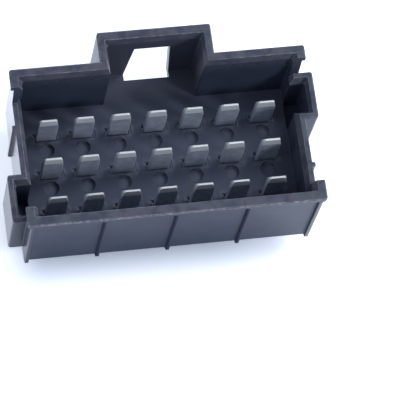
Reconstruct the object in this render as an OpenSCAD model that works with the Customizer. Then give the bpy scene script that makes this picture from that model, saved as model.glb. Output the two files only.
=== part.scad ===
// Press-in pin connector: a moulded shroud with rows of flat blade pins pressed into its floor.
// The origin is the middle of the pin field on the board face. X runs along the rows, Y runs
// towards the latch pocket and Z runs out of the mouth.

/* [Pin field] */
// Pins in each row
columns = 7; // [4:1:10]
// Rows of pins
rows = 3; // [2:1:4]
// Distance between pins along a row
column_pitch = 5; // [4.8:0.1:8]
// Distance between rows
row_pitch = 5.5; // [5:0.1:9]

/* [Blades] */
// Width of a blade
blade_w = 2.8; // [2.2:0.1:3.2]
// Thickness of the strip that the pins are stamped from
blade_t = 0.8; // [0.6:0.05:1]
// Height of a blade above the cavity floor
blade_h = 6.5; // [4.5:0.25:9]
// How far each narrow side draws in at the tip
tip_side = 0.25; // [0.1:0.05:0.6]
// Height over which the narrow sides draw in
tip_side_h = 1.6; // [0.5:0.1:2.5]
// Chamfer at the two corners of the tip
tip_corner = 0.2; // [0.05:0.05:0.3]
// How far each broad face draws in at the tip
tip_bevel = 0.26; // [0.1:0.02:0.28]
// Height of the bevel on the broad faces
tip_bevel_h = 0.9; // [0.4:0.1:2]
// Chamfer along the long edges of a blade
edge_break = 0.1; // [0.05:0.05:0.2]

/* [Press zone] */
// How far the barbs stand out past each side of the blade
barb_out = 0.2; // [0.1:0.05:0.6]
// Depth of the notches under the barbs
barb_notch = 0.14; // [0.1:0.02:0.2]
// Barbs on each side of a pin
barbs = 2; // [1:1:3]
// Depth of the pin's shoulders below the cavity floor
shoulder_depth = 0.7; // [0.3:0.1:1]
// Height of the ledge in each slot that the pin seats on, above the board face
ledge_h = 0.6; // [0.4:0.1:1]
// Clearance between the barbs and the ends of their slot
press_gap = 0.02; // [0.01:0.01:0.05]
// Clearance between a pin's broad faces and its slot
slot_gap = 0.1; // [0.02:0.01:0.15]
// Widening of each end of a slot at its mouth
mouth_flare = 0.3; // [0.05:0.05:0.4]
// Widening of each long side of a slot at its mouth
mouth_side = 0.12; // [0.04:0.02:0.2]
// Depth of the widened mouth of a slot
mouth_h = 0.3; // [0.1:0.05:0.4]

/* [Board tails] */
// Length of a tail below the board face
tail_len = 3.6; // [3.2:0.1:5]
// Width of a tail's neck
neck_w = 1.2; // [0.8:0.05:1.4]
// Width across the tail's spring before it is pressed in
spring_w = 1.65; // [1.5:0.05:1.9]
// Length of the spring
spring_len = 3; // [2.4:0.1:3.2]
// Depth of the middle of the spring below the board face
spring_depth = 1.3; // [1.2:0.1:1.6]
// Width of the eye in the spring
eye_w = 0.5; // [0.3:0.05:0.6]
// Length of the eye
eye_len = 1.7; // [1.2:0.1:1.9]
// Width of the end of a tail
tail_end_w = 0.6; // [0.4:0.05:0.8]
// Length of the tapered end of a tail
tail_taper = 0.9; // [0.4:0.1:1.2]
// Clearance between a tail's spring and the opening that it passes through
tail_gap = 0.1; // [0.05:0.05:0.2]

/* [Shroud] */
// Thickness of the floor
floor_t = 2.9; // [2.4:0.1:4]
// Depth of the cavity from rim to floor
cavity_depth = 12.5; // [10:0.5:16]
// Thickness of the front and side walls
wall = 1.25; // [1:0.05:1.6]
// Thickness of the back wall
back_wall = 1.45; // [1:0.05:1.8]
// Space between the end blades and the side walls
end_space = 2.1; // [1.8:0.1:4]
// Space between the outer rows and the long walls
row_space = 3.7; // [3:0.1:5]
// Radius of the upright outer corners
corner_r = 0.4; // [0.2:0.05:0.6]
// Radius of the upright inner corners
inner_r = 0.3; // [0.15:0.05:0.5]
// Chamfer round the outer edges of the rim, the pocket and the keyways
ease = 0.12; // [0.05:0.01:0.2]
// How far the lip and the ribs stand out from the walls
lip_out = 0.42; // [0.2:0.02:0.6]
// Height of the lip round the rim
lip_h = 0.9; // [0.5:0.1:1.5]
// Width of the lead-in slope on the inner edges of the rim
lead = 0.35; // [0.15:0.05:0.5]
// Width of the lead-in slope on the side walls and inside the keyways
side_lead = 0.55; // [0.15:0.05:0.7]
// Height of the lead-in slopes
lead_h = 1.1; // [0.5:0.1:2]
// Diameter of the round recess in front of each blade
recess_d = 2; // [1:0.1:2.2]
// Depth of the round recesses
recess_depth = 0.6; // [0.3:0.1:1]
// Distance from a blade's middle to its recess
recess_back = 1.9; // [1.8:0.1:2.2]

/* [Side walls and posts] */
// Drop from the rim to the lowered side walls
side_drop = 4.75; // [3.8:0.25:6]
// Length of the front corner posts behind the front wall's face
post_front = 2.4; // [1.8:0.1:3]
// Length of the plain back post in front of the back wall's face
post_back = 2.6; // [1.8:0.1:3.2]
// Length of the back post beside the keyway
post_key = 1.9; // [1.6:0.1:2.4]
// How far the end face of a post slopes out towards its foot
post_slope = 0.4; // [0:0.1:1]

/* [Ribs] */
// Upright ribs on the front wall
front_ribs = 5; // [3:1:9]
// Width of a rib at the wall
rib_w = 0.7; // [0.5:0.05:1]
// Width of a rib along its outer edge
rib_edge_w = 0.45; // [0.3:0.05:0.5]
// Distance of the single rib on each side wall from the middle
side_rib_y = 4.5; // [1:0.5:6]

/* [Keyways] */
// How far the keyways stand out from the side walls
key_out = 1.9; // [1.5:0.1:3]
// Length of a keyway along its wall
key_len = 6.7; // [5:0.1:8]
// Thickness of a keyway's outer wall
key_wall = 1.05; // [0.8:0.05:1.3]
// Thickness of the walls at the two ends of a keyway
key_end_wall = 1.25; // [0.9:0.05:1.5]
// Depth of a keyway's floor below the cavity floor
key_sink = 1.5; // [0.5:0.25:2]

/* [Latch pocket] */
// Inner width of the latch pocket
pocket_w = 12.9; // [9:0.1:14]
// How far the pocket stands out from the back wall
pocket_out = 4.25; // [3:0.25:6]
// Thickness of the pocket's side walls
pocket_wall = 1.35; // [1:0.05:1.8]
// Thickness of the pocket's back wall
pocket_back = 1.55; // [1:0.05:2]
// Height of the bridge over the latch window
bridge_h = 3.35; // [2:0.05:5]
// Width of the latch window under the bridge
window_top_w = 4.9; // [4.4:0.05:6]
// Width of the latch window at the cavity floor
window_foot_w = 6.3; // [5:0.05:7]
// How far the window cuts into the pocket's floor
floor_cut = 0.95; // [0.3:0.05:2]

/* [Hidden] */
$fn = 48;
// How far a cut runs past the face that it opens
over = 1;
// Heights above the board face
rim_z = floor_t + cavity_depth;
low_z = rim_z - side_drop;
tip_z = floor_t + blade_h;
shoulder_z = floor_t - shoulder_depth;
window_z = rim_z - bridge_h;
lip_z = rim_z - lip_h;
// Spans of the pin field
field_w = (columns - 1) * column_pitch;
field_d = (rows - 1) * row_pitch;
// Cavity and outer faces of the four walls
cavity_w = field_w + blade_w + 2 * end_space;
cavity_d = field_d + blade_t + 2 * row_space;
body_w = cavity_w + 2 * wall;
front_y = -cavity_d / 2 - wall;
back_y = cavity_d / 2 + back_wall;
// Pocket faces behind the back wall
pocket_outer_y = back_y + pocket_out;
pocket_inner_y = pocket_outer_y - pocket_back;
// Press zone, its notches and the tail's opening, as half widths
press_half = blade_w / 2 + barb_out;
notch_half = press_half - barb_notch;
opening_half = spring_w / 2 + tail_gap;
barb_h = (shoulder_z - ledge_h) / barbs;
// The keyways sit in line with the outer rows
key_y = field_d / 2;
rib_pitch = (body_w - rib_w) / (front_ribs - 1);

function pin_x(column) = (column - (columns + 1) / 2) * column_pitch;
function pin_y(row) = ((rows + 1) / 2 - row) * row_pitch;
function pin_name(row, column) = str("pin_row", row, "_col", column);

// An outline from the points of its right half, listed upwards
function mirrored(side) = concat(side, [for (i = [len(side) - 1 : -1 : 0]) [-side[i][0], side[i][1]]]);

// Stand an outline drawn in X and Z up, and give it a thickness across Y
module front_prism(thickness) {
    rotate([90, 0, 0])
        linear_extrude(thickness, center = true)
            children();
}

// Stand an outline drawn in Y and Z up, and give it a width across X
module side_prism(width) {
    rotate([90, 0, 90])
        linear_extrude(width, center = true)
            children();
}

// A rectangle between two corners, with rounded corners
module round_rect(low, high, r) {
    size = high - low;
    translate(low + [r, 0])
        square(size - [2 * r, 0]);
    translate(low + [0, r])
        square(size - [0, 2 * r]);
    for (x = [low[0] + r, high[0] - r], y = [low[1] + r, high[1] - r])
        translate([x, y])
            circle(r);
}

// The pointed oval where two equal circles cross, standing on end
module lens(width, length) {
    r = (pow(length, 2) + pow(width, 2)) / (4 * width);
    intersection_for (side = [-1, 1])
        translate([side * (r - width / 2), 0])
            circle(r);
}

// A block with rounded upright corners and a chamfer round its top
module eased_block(low, high, foot, top) {
    middle = (low + high) / 2;
    half = (high - low) / 2;
    intersection() {
        translate([0, 0, foot])
            linear_extrude(top - foot)
                round_rect(low, high, corner_r);
        translate([middle[0], middle[1], 0])
            front_prism(2 * (half[1] + over))
                eased_outline(half[0], foot, top);
        translate([middle[0], middle[1], 0])
            side_prism(2 * (half[0] + over))
                eased_outline(half[1], foot, top);
    }
}

module eased_outline(half, foot, top) {
    polygon(mirrored([[half, foot], [half, top - ease], [half - ease, top]]));
}

// A rectangular opening whose sides slope outwards up to its rim, by a width along X and one along Y
module flared_opening(low, high, rim, leads, depth = lead_h) {
    middle = (low + high) / 2;
    half = (high - low) / 2;
    translate([middle[0], middle[1], rim])
        intersection() {
            front_prism(2 * (half[1] + leads[1]))
                flared_outline(half[0], leads[0], depth);
            side_prism(2 * (half[0] + leads[0]))
                flared_outline(half[1], leads[1], depth);
        }
}

module flared_outline(half, slope, depth) {
    polygon(mirrored([[half, -depth], [half + slope, 0], [half + slope, over]]));
}

// Stamped pin, drawn about its own middle

module blade_outline() {
    polygon(mirrored([
        [blade_w / 2, shoulder_z],
        [blade_w / 2, tip_z - tip_side_h],
        [blade_w / 2 - tip_side, tip_z - tip_corner],
        [blade_w / 2 - tip_side - tip_corner, tip_z]
    ]));
}

module blade_section() {
    polygon(mirrored([
        [blade_w / 2 - edge_break, -blade_t / 2],
        [blade_w / 2, edge_break - blade_t / 2],
        [blade_w / 2, blade_t / 2 - edge_break],
        [blade_w / 2 - edge_break, blade_t / 2]
    ]));
}

module thickness_outline() {
    polygon(mirrored([
        [tail_end_w / 2, -tail_len],
        [blade_t / 2, tail_taper / 2 - tail_len],
        [blade_t / 2, tip_z - tip_bevel_h],
        [blade_t / 2 - tip_bevel, tip_z]
    ]));
}

module press_outline() {
    teeth = [for (i = [0 : barbs - 1]) each [
        [notch_half, ledge_h + i * barb_h],
        [press_half, ledge_h + (i + 1) * barb_h]
    ]];
    polygon(mirrored(teeth));
}

module tail_outline() {
    difference() {
        union() {
            translate([-neck_w / 2, tail_taper - tail_len])
                square([neck_w, ledge_h + tail_len - tail_taper]);
            polygon(mirrored([
                [tail_end_w / 2, -tail_len],
                [neck_w / 2, tail_taper - tail_len]
            ]));
            translate([0, -spring_depth])
                lens(spring_w, spring_len);
        }
        translate([0, -spring_depth])
            lens(eye_w, eye_len);
    }
}

module pin(row, column) {
    color("silver")
        translate([pin_x(column), pin_y(row), 0])
            intersection() {
                union() {
                    intersection() {
                        front_prism(blade_t)
                            blade_outline();
                        linear_extrude(tip_z + over)
                            blade_section();
                    }
                    front_prism(blade_t) {
                        press_outline();
                        tail_outline();
                    }
                }
                side_prism(2 * press_half + over)
                    thickness_outline();
            }
}

// Moulded housing

// Everything solid: walls, pocket, keyways, lip and ribs before they are hollowed
module shroud_block() {
    lip_middle_z = (lip_z + rim_z) / 2;
    linear_extrude(lip_middle_z)
        round_rect([-body_w / 2, front_y], [body_w / 2, back_y], corner_r);
    eased_block([-body_w / 2 - lip_out, front_y - lip_out], [body_w / 2 + lip_out, back_y], lip_z, rim_z);
    eased_block([-pocket_w / 2 - pocket_wall, cavity_d / 2],
        [pocket_w / 2 + pocket_wall, pocket_outer_y], 0, rim_z);
    for (turn = [0, 180])
        rotate(turn) {
            eased_block([cavity_w / 2, key_y - key_len / 2],
                [body_w / 2 + key_out, key_y + key_len / 2], 0, low_z);
            translate([body_w / 2, -side_rib_y, 0])
                rotate(90)
                    rib(low_z);
        }
    for (i = [0 : front_ribs - 1])
        translate([(rib_w - body_w) / 2 + i * rib_pitch, front_y, 0])
            rib(lip_middle_z);
}

// An upright rib on a wall that faces -Y, with sloping flanks
module rib(height) {
    linear_extrude(height)
        polygon(mirrored([
            [rib_edge_w / 2, -lip_out],
            [rib_w / 2, 0],
            [rib_w / 2, wall / 2]
        ]));
}

// The lowered stretch of a side wall between two posts, whose end faces slope out to their feet
module side_notch(front, back) {
    side_prism(2 * (wall + over))
        polygon([
            [front + post_slope, low_z],
            [back - post_slope, low_z],
            [back, rim_z],
            [back, rim_z + over],
            [front, rim_z + over],
            [front, rim_z]
        ]);
}

// The mating cavity with its lowered side walls and the lead-in along every inner edge
module cavity() {
    front = front_y + post_front;
    mouth = [cavity_w, cavity_d] / 2;
    translate([0, 0, floor_t])
        linear_extrude(cavity_depth + over)
            round_rect(-mouth, mouth, inner_r);
    flared_opening(-mouth, mouth, rim_z, [side_lead, lead]);
    for (side = [-1, 1]) {
        back = back_y - (side > 0 ? post_key : post_back);
        translate([side * body_w / 2, 0, 0])
            side_notch(front, back);
        translate([0, (front + back) / 2, low_z])
            front_prism(back - front - 2 * post_slope)
                flared_outline(cavity_w / 2, side_lead, lead_h);
    }
}

// A channel for the plug's key rib, open to the cavity and sunk below its floor
module keyway() {
    low = [cavity_w / 2 - over, key_y - key_len / 2 + key_end_wall];
    high = [body_w / 2 + key_out - key_wall, key_y + key_len / 2 - key_end_wall];
    translate([0, 0, floor_t])
        linear_extrude(low_z)
            round_rect(low, high, inner_r);
    translate([0, 0, floor_t - key_sink])
        linear_extrude(low_z)
            round_rect([cavity_w / 2, low[1]], high, inner_r);
    flared_opening(low, high, low_z, [lead, side_lead]);
}

// The latch pocket, and the tapered window that runs down through its wall and floor
module latch_pocket() {
    low = [-pocket_w / 2, 0];
    high = [pocket_w / 2, pocket_inner_y];
    slope = (window_foot_w - window_top_w) / 2 / (window_z - floor_t);
    window_y = [pocket_inner_y - floor_cut, pocket_outer_y + over];
    translate([0, 0, floor_t])
        linear_extrude(cavity_depth + over)
            round_rect(low, high, inner_r);
    flared_opening(low, high, rim_z, [lead, lead]);
    translate([0, (window_y[0] + window_y[1]) / 2, 0])
        front_prism(window_y[1] - window_y[0])
            polygon(mirrored([
                [window_foot_w / 2 + slope * (floor_t + over), -over],
                [window_top_w / 2, window_z]
            ]));
}

// The slot for one pin: the tail's opening, the ledge, the press zone and the mouth
module pin_slot() {
    slot = [press_half + press_gap, blade_t / 2 + slot_gap];
    front_prism(2 * slot[1])
        polygon(mirrored([
            [opening_half, -over],
            [opening_half, ledge_h],
            [slot[0], ledge_h],
            [slot[0], floor_t + over]
        ]));
    flared_opening(-slot, slot, floor_t, [mouth_flare, mouth_side], mouth_h);
    translate([0, -recess_back, floor_t - recess_depth])
        cylinder(d = recess_d, h = recess_depth + over);
}

module housing() {
    color([0.16, 0.17, 0.21])
        difference() {
            shroud_block();
            cavity();
            for (turn = [0, 180])
                rotate(turn)
                    keyway();
            latch_pocket();
            for (row = [1 : rows], column = [1 : columns])
                translate([pin_x(column), pin_y(row), 0])
                    pin_slot();
        }
}

housing();
for (row = [1 : rows], column = [1 : columns])
    pin(row, column);
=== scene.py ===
"""Press-in pin connector: a charcoal moulded shroud and its tin-plated blade pins on a pale table."""
import math

import bpy
from mathutils import Matrix, Vector


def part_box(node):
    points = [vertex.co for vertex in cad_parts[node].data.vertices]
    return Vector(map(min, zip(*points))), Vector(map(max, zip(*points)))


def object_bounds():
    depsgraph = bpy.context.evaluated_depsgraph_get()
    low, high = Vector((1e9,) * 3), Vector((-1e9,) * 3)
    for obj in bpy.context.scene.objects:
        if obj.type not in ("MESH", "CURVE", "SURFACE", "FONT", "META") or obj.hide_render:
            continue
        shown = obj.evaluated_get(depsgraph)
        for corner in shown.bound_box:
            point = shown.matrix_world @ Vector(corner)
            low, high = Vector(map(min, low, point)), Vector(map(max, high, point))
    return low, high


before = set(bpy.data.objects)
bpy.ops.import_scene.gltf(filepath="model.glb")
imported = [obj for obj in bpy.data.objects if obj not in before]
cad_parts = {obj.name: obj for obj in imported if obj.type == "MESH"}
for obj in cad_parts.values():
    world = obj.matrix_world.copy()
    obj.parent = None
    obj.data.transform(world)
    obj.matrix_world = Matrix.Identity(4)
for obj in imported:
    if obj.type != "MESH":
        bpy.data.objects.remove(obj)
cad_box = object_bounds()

MM = 0.001


def middle(node):
    """The middle of a node's box, in millimetres."""
    low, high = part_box(node)
    return (low + high) / (2 * MM)


# Shroud, in millimetres: its outer sizes from its box, and its section as modelled
FRONT_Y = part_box("housing")[0].y / MM
BACK_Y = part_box("housing")[1].y / MM
SIDE_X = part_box("housing")[1].x / MM
RIM_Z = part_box("housing")[1].z / MM
LIP_OUT = 0.42
LIP_HEIGHT = 0.9
CAVITY_DEPTH = 12.5
CAVITY_SPAN = 19.2
MARK_DEPTH = 0.6
POCKET_WIDTH = 12.9
RIB_PITCH = 9.7
WALL_Y = FRONT_Y + LIP_OUT
LIP_Z = RIM_Z - LIP_HEIGHT
FLOOR_Z = RIM_Z - CAVITY_DEPTH
MARK_Z = FLOOR_Z - MARK_DEPTH
CAVITY_Y = CAVITY_SPAN / 2
POCKET_X = POCKET_WIDTH / 2
END_RIB_X = 2 * RIB_PITCH

# Pins, in millimetres: their spacing and outermost places from their boxes, and the height of a coined tip
COLUMN_PITCH = middle("pin_row1_col2").x - middle("pin_row1_col1").x
ROW_PITCH = middle("pin_row1_col1").y - middle("pin_row2_col1").y
FIELD_X = middle("pin_row1_col7").x
FIELD_Y = middle("pin_row1_col7").y
TIP_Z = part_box("pin_row1_col1")[1].z / MM
COINED_HEIGHT = 0.9
COINED_Z = TIP_Z - COINED_HEIGHT

# Camera, as fitted to the pin tips and rim corners of the photograph
VIEW_AZIMUTH = math.radians(-26.0)
VIEW_ELEVATION = math.radians(69.62)
VIEW_ROLL = math.radians(19.28)
VIEW_TARGET = Vector((5.16, -5.23, 1.99)) * MM
VIEW_DISTANCE = 443.1 * MM
SENSOR_WIDTH = 36.0
FOCAL_LENGTH = 290.7
CLIP_START = 10 * MM

# Studio: a cool dome and three softboxes at one distance, in metres. Each softbox has its azimuth, elevation
# and width, in degrees, and its level
LAMP_DISTANCE = 0.6
SOFTBOXES = {
    "key_softbox": (24, 48, 30, 0.5),
    "side_softbox": (-35, 34, 12, 0.36),
    "left_softbox": (185, 24, 30, 0.19),
}
LAMP_COLOUR = (0.95, 0.97, 1.0)
SKY_COLOUR = (0.72, 0.84, 1.0)
SKY_STRENGTH = 0.29

# Table: its side and height in metres, its colour in the light that it throws back,
# and its colour and glow where it is seen
TABLE_SIZE = 3.0
TABLE_Z = cad_box[0].z
TABLE_COLOUR = (0.95, 0.94, 0.92)
TABLE_SEEN = (1.06, 1.14, 1.33)
TABLE_GLOW = (0.58, 0.6, 0.65)
NO_GLOW = (0.0, 0.0, 0.0)

# Painted shadow strip on the table, in millimetres: how far ahead of the lip it starts and is full, each to
# the camera and in reflections, then from where to where it comes in behind the lip and at its two ends
STRIP_STARTS = (4.0, 11.5)
STRIP_FULL = (-2.5, -0.5)
STRIP_BEHIND = (-12, -6)
STRIP_LEFT = (-23, -16)
STRIP_RIGHT = (28, 6)
# Painted shade in the strip as reflections show it: its colour, and how much of it is laid on
STRIP_COLOUR = (0.24, 0.36, 0.62)
STRIP_SHADE = 0.6

# Grain of the finishes: the size of its lumps in millimetres, its detail and its roughness
CLOUD = (5.0, 3.0, 0.5)
MOTTLE = (1.6, 5.0, 0.6)
SCUFF = (1.1, 4.0, 0.6)
SPECK = (0.5, 3.0, 0.7)
NICK = (0.5, 3.0, 0.6)
DRAG_LINES = (0.5, 2.0, 0.5)
BLOOM = (0.9, 4.0, 0.5)
DRAWN_LINES = (0.09, 2.0, 0.5)
# Turn of every grain, so that no face lies along it, and the stretch that draws it out into upright lines
GRAIN_TURN = (0.5, 0.8, 0.3)
EVEN = (1, 1, 1)
DRAG_STRETCH = (1, 1, 0.06)
DRAWN_STRETCH = (1, 1, 0.04)

# Part of a grain's range over which a finish comes in, from its start to where it is full
SHADING = (0.3, 0.7)
CHALKING = (0.35, 0.65)
SCRAPING = (0.35, 0.6)
RUBBING = (0.36, 0.62)
WEARING = (0.46, 0.62)
CHIPPING = (0.48, 0.6)
SPECKLING = (0.68, 0.76)
# Share of an uneven finish where its grain is lowest and where it is highest
UNEVEN = (0.7, 1.3)

# Places on the moulding, in millimetres. Each pair is where a mask starts and where it is full
ABOVE_TIPS = (TIP_Z - 1.4, TIP_Z + 0.1)
LOW_DOWN = (FLOOR_Z + 2.1, FLOOR_Z + 1.1)
BEHIND_FRONT = (WALL_Y + 0.45, WALL_Y + 0.85)
BEFORE_BACK = (BACK_Y - 1.0, BACK_Y - 1.3)
UP_THE_MOUTH = (RIM_Z - 4.9, RIM_Z - 0.4)
INTO_POCKET = (CAVITY_Y + 0.1, CAVITY_Y + 0.6)
ACROSS_POCKET = (POCKET_X + 0.45, POCKET_X + 0.15)
PROUD_OF_WALL = (WALL_Y - 0.05, WALL_Y - 0.15)
UNDER_LIP = (LIP_Z, LIP_Z - 0.2)
PAST_LEFT_RIB = (-END_RIB_X + 3.4, -END_RIB_X + 5.4)
RIGHT_RIB = (END_RIB_X - 0.3, END_RIB_X - 0.15)
LIP_TOP = (RIM_Z - 0.5, RIM_Z - 0.2)
LIP_FRONT = (FRONT_Y + 0.24, FRONT_Y + 0.08)
END_FACES = (FIELD_X, FIELD_X + 3.0)
BEHIND_CORNERS = (WALL_Y + 1.45, WALL_Y + 2.05)
OUT_ON_KEYWAYS = (SIDE_X - 1.65, SIDE_X - 0.25)
ACROSS_FIELD = (FIELD_X + 2.5, FIELD_X + 2.0)
ALONG_FIELD = (FIELD_Y + 3.5, FIELD_Y + 3.0)
BELOW_FLOOR = (FLOOR_Z - 0.02, FLOOR_Z - 0.1)
AT_MARKS = (MARK_Z + 0.3, MARK_Z + 0.1)
# The same, off the middle of the nearest rib, row or blade
RIB_LEFT_HALF = (0.16, 0.0)
SLOT_OFF_ROW = (1.2, 0.9)
SLOT_LEFT_TO_RIGHT = (-0.5, 0.5)
PATCH_OFF_ROW = (1.5, 0.6)
PATCH_OFF_BLADE = (2.4, 1.7)
BURR_OFF_ROW = (1.1, 0.4)
BURR_LEFT = (1.3, 1.6)
BURR_RIGHT = (2.5, 1.8)
# How far a face looks up: 1 is level, 0 is upright and -1 looks down
LEANING = (0.1, 0.25)
LEVEL = (0.7, 0.95)
NOT_DOWNWARD = (-0.6, -0.3)
# How far a rounded edge turns from its face: 0 is not at all
TOP_EDGE = (0.002, 0.03)
BLADE_EDGE = (0.02, 0.25)

# Moulding: how much of a finish or of painted light lies on its place, as one share or from the least to the
# most
TOP_RUBBED = (0.35, 1.0)
# Painted light in the latch pocket and up the inner walls towards the rim
POCKET_LIGHT = 0.55
MOUTH_LIGHT = 0.4
# Painted light on the slot walls, from the left of a blade to its right
SLOT_LIGHT = (0.6, 1.1)
FLOOR_SCRAPED = 0.3
EDGE_WORN = (0.2, 0.7)
LIP_WORN = (0.25, 0.85)
TOP_DUST = 0.3
END_POLISH = (1.0, 0.4)
# Moulding: the colours of its finishes and of its painted light and shade
WALL_SHADES = ((0.042, 0.052, 0.088), (0.053, 0.063, 0.103))
# Painted shade on the left flanks of the front ribs
RIB_SHADE_COLOUR = (0.028, 0.034, 0.066)
FLOOR_COLOUR = (0.099, 0.108, 0.157)
# Painted light in the bottoms of the round marks, lifting the shade of their recesses
MARK_LIGHT_COLOUR = (0.15, 0.16, 0.225)
# Painted light in the slots, and pale scrapes on the floor round them
SCRAPED_AND_LIT_COLOUR = (0.26, 0.27, 0.33)
# Plug rubs on the tops, and painted light in the pocket and up the inner walls
RUBBED_AND_LIT_SHADES = ((0.118, 0.114, 0.155), (0.112, 0.122, 0.152))
DUST_COLOUR = (0.3, 0.31, 0.35)
WORN_COLOUR = (0.36, 0.37, 0.42)
# Moulding: the roughness of its bare skin, and what each grain and finish adds
SKIN_ROUGHNESS = 0.2
MOTTLE_ROUGHNESS = 0.06
DRAG_ROUGHNESS = 0.04
RUBBED_ROUGHNESS = 0.1
WORN_ROUGHNESS = 0.2
RIB_ROUGHNESS = 0.4
# Moulding, in millimetres: the radius of its soft edges and the depth of its drag lines. Then their strength
MOULD_EDGE_RADIUS = 0.2
DRAG_DEPTH = 0.003
DRAG_STRENGTH = 0.2

# Plating: its colours, and how far its edges are brightened
TIN_SHADES = ((0.46, 0.505, 0.605), (0.615, 0.655, 0.75))
TIP_COLOUR = (0.88, 0.89, 0.92)
BRIGHT_EDGE_COLOUR = (0.82, 0.83, 0.86)
BRIGHT_EDGE = (0.0, 0.5)
# Plating: its roughness, what the bloom adds to it and what the coined tip takes off
TIN_ROUGHNESS = 0.4
BLOOM_ROUGHNESS = 0.14
TIP_SMOOTHNESS = 0.08
# Plating, in millimetres: half the blur at the foot of the tip, the radius of its soft edges and the depth
# of its drawing lines. Then their strength
COIN_BLUR = 0.06
BLADE_EDGE_RADIUS = 0.07
DRAWN_DEPTH = 0.004
DRAWN_STRENGTH = 0.5


class Signal:
    """A shader socket that can be used in Python sums. Each operator adds one Math node."""

    def __init__(self, paint, socket):
        self.paint = paint
        self.socket = socket

    def math(self, operation, *terms):
        return self.paint.node("ShaderNodeMath", {"operation": operation}, dict(enumerate(terms)))

    def __add__(self, other):
        return self.math("ADD", self, other)

    def __radd__(self, other):
        return self.math("ADD", other, self)

    def __sub__(self, other):
        return self.math("SUBTRACT", self, other)

    def __rsub__(self, other):
        return self.math("SUBTRACT", other, self)

    def __mul__(self, other):
        return self.math("MULTIPLY", self, other)

    def __rmul__(self, other):
        return self.math("MULTIPLY", other, self)

    def __abs__(self):
        return self.math("ABSOLUTE", self)

    def larger(self, other):
        """The larger of two signals."""
        return self.math("MAXIMUM", self, other)

    def from_nearest(self, pitch):
        """The signed distance to the nearest multiple of pitch."""
        return self.math("WRAP", self, pitch / 2, -pitch / 2)

    def span(self, at_zero, at_one):
        """A straight run of numbers: at_zero where the signal is 0 and at_one where it is 1."""
        return at_zero + self * (at_one - at_zero)

    def between(self, low, high, least=0.0, most=1.0):
        """A smooth run of numbers: least at low and before it, most at high and past it."""
        settings = {"interpolation_type": "SMOOTHSTEP"}
        inputs = {"Value": self, "From Min": low, "From Max": high, "To Min": least, "To Max": most}
        return self.paint.node("ShaderNodeMapRange", settings, inputs)


def opaque(colour):
    """A plain colour with full alpha. A signal stays as it is."""
    return colour if isinstance(colour, Signal) else (*colour, 1.0)


class Paint:
    """One material's node tree, with a Principled shader that its links feed."""

    def __init__(self, name, **constants):
        self.material = bpy.data.materials.new(name)
        self.material.use_nodes = True
        self.tree = self.material.node_tree
        self.shader = self.tree.nodes["Principled BSDF"]
        self.feed(self.shader, constants)

    def feed(self, node, inputs):
        """Set or link a node's inputs by name or number. Underscores in a name stand for spaces."""
        for key, value in inputs.items():
            socket = node.inputs[key.replace("_", " ") if isinstance(key, str) else key]
            if isinstance(value, Signal):
                self.tree.links.new(value.socket, socket)
            else:
                socket.default_value = value

    def node(self, kind, settings=None, inputs=None, output=0):
        """Add a node: its settings are set first, then its sockets, and one output comes back."""
        node = self.tree.nodes.new(kind)
        for key, value in (settings or {}).items():
            setattr(node, key, value)
        self.feed(node, inputs or {})
        return Signal(self, node.outputs[output])

    def axis(self, name):
        """One coordinate of the point on the object, in millimetres."""
        point = self.node("ShaderNodeTexCoord", output="Object")
        return self.node("ShaderNodeSeparateXYZ", None, {0: point}, output=name) * (1 / MM)

    def normal(self):
        """The way the surface looks, before any soft edge or bump."""
        return self.node("ShaderNodeNewGeometry", output="Normal")

    def agreement(self, first, second):
        """How far two directions agree: 1 is the same way, 0 is square and -1 is opposite."""
        settings = {"operation": "DOT_PRODUCT"}
        return self.node("ShaderNodeVectorMath", settings, {0: first, 1: second}, output="Value")

    def grain(self, kind, stretch=EVEN):
        """Cloudy noise from 0 to 1 of one kind of grain, with each axis multiplied by stretch."""
        size, detail, roughness = kind
        point = self.node("ShaderNodeTexCoord", output="Object")
        turned = {"Vector": point, "Scale": stretch, "Rotation": GRAIN_TURN}
        place = self.node("ShaderNodeMapping", None, turned)
        inputs = {"Vector": place, "Scale": 1 / (size * MM), "Detail": detail, "Roughness": roughness}
        return self.node("ShaderNodeTexNoise", None, inputs)

    def blend(self, factor, first, second):
        """Colour first where factor is 0 and second where it is 1."""
        inputs = {0: factor, 6: opaque(first), 7: opaque(second)}
        return self.node("ShaderNodeMix", {"data_type": "RGBA"}, inputs, output=2)

    def layered(self, colour, *layers):
        """The colour with finishes laid over it in turn. A layer is a mask and its finish's colour."""
        for mask, finish in layers:
            colour = self.blend(mask, colour, finish)
        return colour

    def soft_edges(self, radius):
        """The normal with edges rounded to a radius in millimetres, and how far it turns from its face."""
        rounded = self.node("ShaderNodeBevel", {"samples": 8}, {"Radius": radius * MM})
        return rounded, 1 - self.agreement(rounded, self.normal())

    def bump(self, height, depth, strength, normal):
        """The normal with a height from 0 to 1 laid on it, as deep as depth in millimetres."""
        inputs = {"Height": height, "Distance": depth * MM, "Strength": strength, "Normal": normal}
        return self.node("ShaderNodeBump", None, inputs)

    def finish(self, **inputs):
        """Feed the shader and hand back the material."""
        self.feed(self.shader, inputs)
        return self.material


def uneven(mask, grain):
    """The mask, thinner where the grain is low and fuller where it is high."""
    return mask * grain.span(*UNEVEN)


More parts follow.
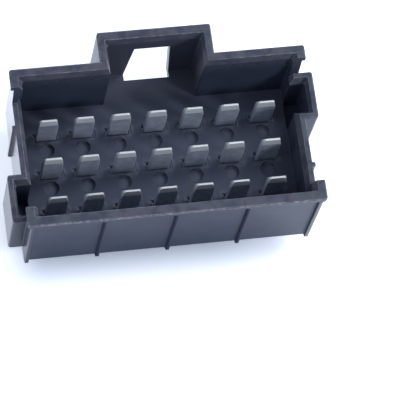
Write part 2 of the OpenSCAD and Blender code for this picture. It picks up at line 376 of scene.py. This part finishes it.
class Spot:
    """A point on the moulding: its place in millimetres, the way it looks and the part it belongs to."""

    def __init__(self, paint):
        self.x, self.y, self.z = (paint.axis(name) for name in "XYZ")
        self.aside = abs(self.x)
        self.off_blade = self.x.from_nearest(COLUMN_PITCH)
        self.off_row = abs(self.y.from_nearest(ROW_PITCH))
        self.upward = paint.agreement(paint.normal(), (0, 0, 1))
        self.outward = paint.agreement(paint.normal(), (1, 0, 0)) * self.x
        self.top = self.upward.between(*LEANING) * self.z.between(*ABOVE_TIPS)
        self.floor = self.upward.between(*LEVEL) * self.z.between(*LOW_DOWN)
        self.rib = self.y.between(*PROUD_OF_WALL) * self.z.between(*UNDER_LIP)
        self.field = self.aside.between(*ACROSS_FIELD) * abs(self.y).between(*ALONG_FIELD)
        self.slot = (self.field * self.off_row.between(*SLOT_OFF_ROW)
                     * self.z.between(*BELOW_FLOOR) * self.upward.between(*NOT_DOWNWARD))


def shaded_rib_flanks(spot):
    """The left flank and left half of the edge of each front rib but the leftmost: rougher, and darker with
    painted shade.
    """
    left_half = spot.x.from_nearest(RIB_PITCH).between(*RIB_LEFT_HALF)
    return spot.rib * left_half * spot.x.between(*PAST_LEFT_RIB)


def lit_mark_bottoms(spot):
    """The bottoms of the round marks in the floor, level, at their depth and outside the slots: painted
    light lifts their shade.
    """
    return spot.field * spot.floor * spot.z.between(*AT_MARKS) * (1 - spot.slot)


def slot_light_and_scrapes(spot, scuff):
    """Painted light on the slot walls, weaker at the left; pin scrapes on the floor round each slot and at
    its right.
    """
    # Painted light on the slot walls, lifting their shade, from weak at the left of a blade to full at its
    # right
    walls = spot.slot * spot.off_blade.between(*SLOT_LEFT_TO_RIGHT, *SLOT_LIGHT)
    patch = spot.off_row.between(*PATCH_OFF_ROW) * abs(spot.off_blade).between(*PATCH_OFF_BLADE)
    right_end = spot.off_blade.between(*BURR_LEFT) * spot.off_blade.between(*BURR_RIGHT)
    burr = spot.off_row.between(*BURR_OFF_ROW) * right_end
    scuffed = (patch + burr) * FLOOR_SCRAPED * spot.field * spot.floor * scuff.between(*SCRAPING)
    return walls.larger(scuffed)


def plug_rubs_and_painted_light(spot, mottle):
    """Plug rubs, patchy on the tops, and painted light, even in the latch pocket and growing up the walls to
    the rim.
    """
    tops = spot.top * mottle.between(*RUBBING, *TOP_RUBBED)
    inside = spot.y.between(*BEHIND_FRONT) * spot.y.between(*BEFORE_BACK)
    # Painted light: even on the pocket's inner walls, and growing up the inner walls towards the rim
    pocket = inside * spot.y.between(*INTO_POCKET) * spot.aside.between(*ACROSS_POCKET)
    mouth = inside * spot.z.between(*UP_THE_MOUTH)
    return tops.larger((pocket * POCKET_LIGHT).larger(mouth * MOUTH_LIGHT))


def worn_edges(spot, turn, scuff, nick):
    """Pale edges: worn on the tops and the front edge of the lip, and paler on the edge of the right end
    rib.
    """
    tops = spot.top * turn.between(*TOP_EDGE) * scuff.between(*WEARING, *EDGE_WORN)
    lip = spot.z.between(*LIP_TOP) * spot.y.between(*LIP_FRONT) * nick.between(*CHIPPING, *LIP_WORN)
    # The edge of the right end rib, made paler
    rib = uneven(spot.rib * spot.x.between(*RIGHT_RIB), nick)
    return tops.larger(lip + rib)


def polished_ends(spot):
    """The outer faces of both ends behind the front corners, less polished out on the keyways."""
    ends = spot.outward.between(*END_FACES) * spot.y.between(*BEHIND_CORNERS)
    return ends * spot.aside.between(*OUT_ON_KEYWAYS, *END_POLISH)


def charcoal_moulding():
    """Dark bluish plastic: a satin skin with drag lines, what moulding, pins and plugs leave on it, and
    painted light and shade.

    Over cloudy walls lie, in turn: ribs rougher on their left flanks and darkened there with painted shade,
    a paler floor with painted light in its ejector marks, painted light in the slots and scrapes by the
    pins, rubs by plugs with painted light in the pocket and up the inner walls, specks of dust on the tops
    and pale edges, worn on the tops and the lip. A clear coat stands for the polish of the ends.
    """
    paint = Paint("charcoal_moulding", IOR=1.5, Specular_IOR_Level=0.11, Coat_Roughness=0.15)
    spot = Spot(paint)
    rounded, turn = paint.soft_edges(MOULD_EDGE_RADIUS)
    cloud = paint.grain(CLOUD)
    mottle = paint.grain(MOTTLE)
    scuff = paint.grain(SCUFF)
    drag = paint.grain(DRAG_LINES, DRAG_STRETCH)
    dust = paint.grain(SPECK).between(*SPECKLING) * spot.top * TOP_DUST
    # Left flanks of the ribs: rougher, and darkened with painted shade
    dull_and_shaded = shaded_rib_flanks(spot)
    rubbed_and_lit = plug_rubs_and_painted_light(spot, mottle)
    worn = worn_edges(spot, turn, scuff, paint.grain(NICK))
    colour = paint.layered(
        paint.blend(cloud.between(*SHADING), *WALL_SHADES),
        (dull_and_shaded, RIB_SHADE_COLOUR),
        (uneven(spot.floor, cloud), FLOOR_COLOUR),
        (lit_mark_bottoms(spot), MARK_LIGHT_COLOUR),
        (slot_light_and_scrapes(spot, scuff), SCRAPED_AND_LIT_COLOUR),
        (rubbed_and_lit, paint.blend(cloud.between(*CHALKING), *RUBBED_AND_LIT_SHADES)),
        (dust, DUST_COLOUR),
        (worn, WORN_COLOUR),
    )
    skin = SKIN_ROUGHNESS + mottle * MOTTLE_ROUGHNESS + drag * DRAG_ROUGHNESS
    roughness = skin + rubbed_and_lit * RUBBED_ROUGHNESS + worn * WORN_ROUGHNESS + dull_and_shaded * RIB_ROUGHNESS
    normal = paint.bump(drag, DRAG_DEPTH, DRAG_STRENGTH, rounded)
    polish = polished_ends(spot)
    return paint.finish(Base_Color=colour, Roughness=roughness, Coat_Weight=polish, Normal=normal)


def tin_plate():
    """Matte tin plating with drawing lines up the blade, a bloom, bright edges and a burnished tip."""
    paint = Paint("tin_plate", Metallic=0.45)
    rounded, turn = paint.soft_edges(BLADE_EDGE_RADIUS)
    lines = paint.grain(DRAWN_LINES, DRAWN_STRETCH)
    bloom = paint.grain(BLOOM)
    coined = paint.axis("Z").between(COINED_Z - COIN_BLUR, COINED_Z + COIN_BLUR)
    colour = paint.layered(
        paint.blend(bloom.between(*SHADING), *TIN_SHADES),
        (uneven(coined, bloom), TIP_COLOUR),
        (turn.between(*BLADE_EDGE, *BRIGHT_EDGE), BRIGHT_EDGE_COLOUR),
    )
    roughness = TIN_ROUGHNESS + bloom * BLOOM_ROUGHNESS - coined * TIP_SMOOTHNESS
    normal = paint.bump(lines, DRAWN_DEPTH, DRAWN_STRENGTH, rounded)
    return paint.finish(Base_Color=colour, Roughness=roughness, Normal=normal)


def table_top():
    """Pale table, white to the camera and in reflections, with a painted shadow strip along the front wall.
    """
    paint = Paint("table_top", Roughness=0.9, Specular_IOR_Level=0.0, Emission_Strength=1.0)
    straight, glossy, through = (paint.node("ShaderNodeLightPath", output=ray)
                                 for ray in ("Is Camera Ray", "Is Glossy Ray", "Is Transmission Ray"))
    mirrored = glossy.larger(through)
    seen = straight.larger(mirrored)
    ahead = FRONT_Y - paint.axis("Y")
    across = paint.axis("X")
    # Painted shadow: along the front wall the glow is taken away, and reflections there are darkened
    in_front = ahead.between(mirrored.span(*STRIP_STARTS), mirrored.span(*STRIP_FULL))
    ends = across.between(*STRIP_LEFT) * across.between(*STRIP_RIGHT)
    strip = in_front * ahead.between(*STRIP_BEHIND) * ends
    colour = paint.layered(TABLE_COLOUR, (seen, TABLE_SEEN), (strip * mirrored * STRIP_SHADE, STRIP_COLOUR))
    glow = paint.blend(seen * (1 - strip), NO_GLOW, TABLE_GLOW)
    return paint.finish(Base_Color=colour, Emission_Color=glow)


def dress(node, material):
    """Give a node one material in place of its own."""
    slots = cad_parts[node].data.materials
    slots.clear()
    slots.append(material)


def add_table():
    """A square sheet with its middle under the origin, at the height of the lowest point of the part."""
    half = TABLE_SIZE / 2
    corners = [(x, y, TABLE_Z) for x, y in ((-half, -half), (half, -half), (half, half), (-half, half))]
    mesh = bpy.data.meshes.new("table")
    mesh.from_pydata(corners, [], [(0, 1, 2, 3)])
    mesh.materials.append(table_top())
    table = bpy.data.objects.new("table", mesh)
    bpy.context.scene.collection.objects.link(table)


def add_softbox(name, azimuth, elevation, width, level):
    """A square lamp that looks at the origin. A white face turned towards it shows the level."""
    across, rise, spread = math.radians(azimuth), math.radians(elevation), math.radians(width)
    toward = Vector((math.cos(across) * math.cos(rise), math.sin(across) * math.cos(rise), math.sin(rise)))
    lamp = bpy.data.lights.new(name, "AREA")
    lamp.size = 2 * LAMP_DISTANCE * math.tan(spread / 2)
    lamp.energy = level * (math.pi * LAMP_DISTANCE) ** 2
    lamp.color = LAMP_COLOUR
    softbox = bpy.data.objects.new(name, lamp)
    softbox.location = toward * LAMP_DISTANCE
    softbox.rotation_euler = toward.to_track_quat("Z", "Y").to_euler()
    bpy.context.scene.collection.objects.link(softbox)


def add_light():
    """The softboxes, and the dome round them."""
    for name, setting in SOFTBOXES.items():
        add_softbox(name, *setting)
    world = bpy.data.worlds.new("studio")
    world.use_nodes = True
    sky = world.node_tree.nodes["Background"]
    sky.inputs["Color"].default_value = opaque(SKY_COLOUR)
    sky.inputs["Strength"].default_value = SKY_STRENGTH
    bpy.context.scene.world = world


def add_camera():
    """Camera on a sphere round the target, turned about its own axis by the roll."""
    across = Vector((math.cos(VIEW_AZIMUTH), math.sin(VIEW_AZIMUTH), 0))
    back = Vector((math.sin(VIEW_AZIMUTH) * math.cos(VIEW_ELEVATION),
                   -math.cos(VIEW_AZIMUTH) * math.cos(VIEW_ELEVATION),
                   math.sin(VIEW_ELEVATION)))
    above = back.cross(across)
    right = across * math.cos(VIEW_ROLL) + above * math.sin(VIEW_ROLL)
    up = back.cross(right)
    lens = bpy.data.cameras.new("camera")
    lens.sensor_width = SENSOR_WIDTH
    lens.lens = FOCAL_LENGTH
    lens.clip_start = CLIP_START
    camera = bpy.data.objects.new("camera", lens)
    turn = Matrix((right, up, back)).transposed().to_4x4()
    camera.matrix_world = Matrix.Translation(VIEW_TARGET + back * VIEW_DISTANCE) @ turn
    bpy.context.scene.collection.objects.link(camera)
    bpy.context.scene.camera = camera


plastic = charcoal_moulding()
plating = tin_plate()
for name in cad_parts:
    dress(name, plastic if name == "housing" else plating)
add_table()
add_light()
add_camera()
bpy.context.scene.view_settings.view_transform = "Standard"
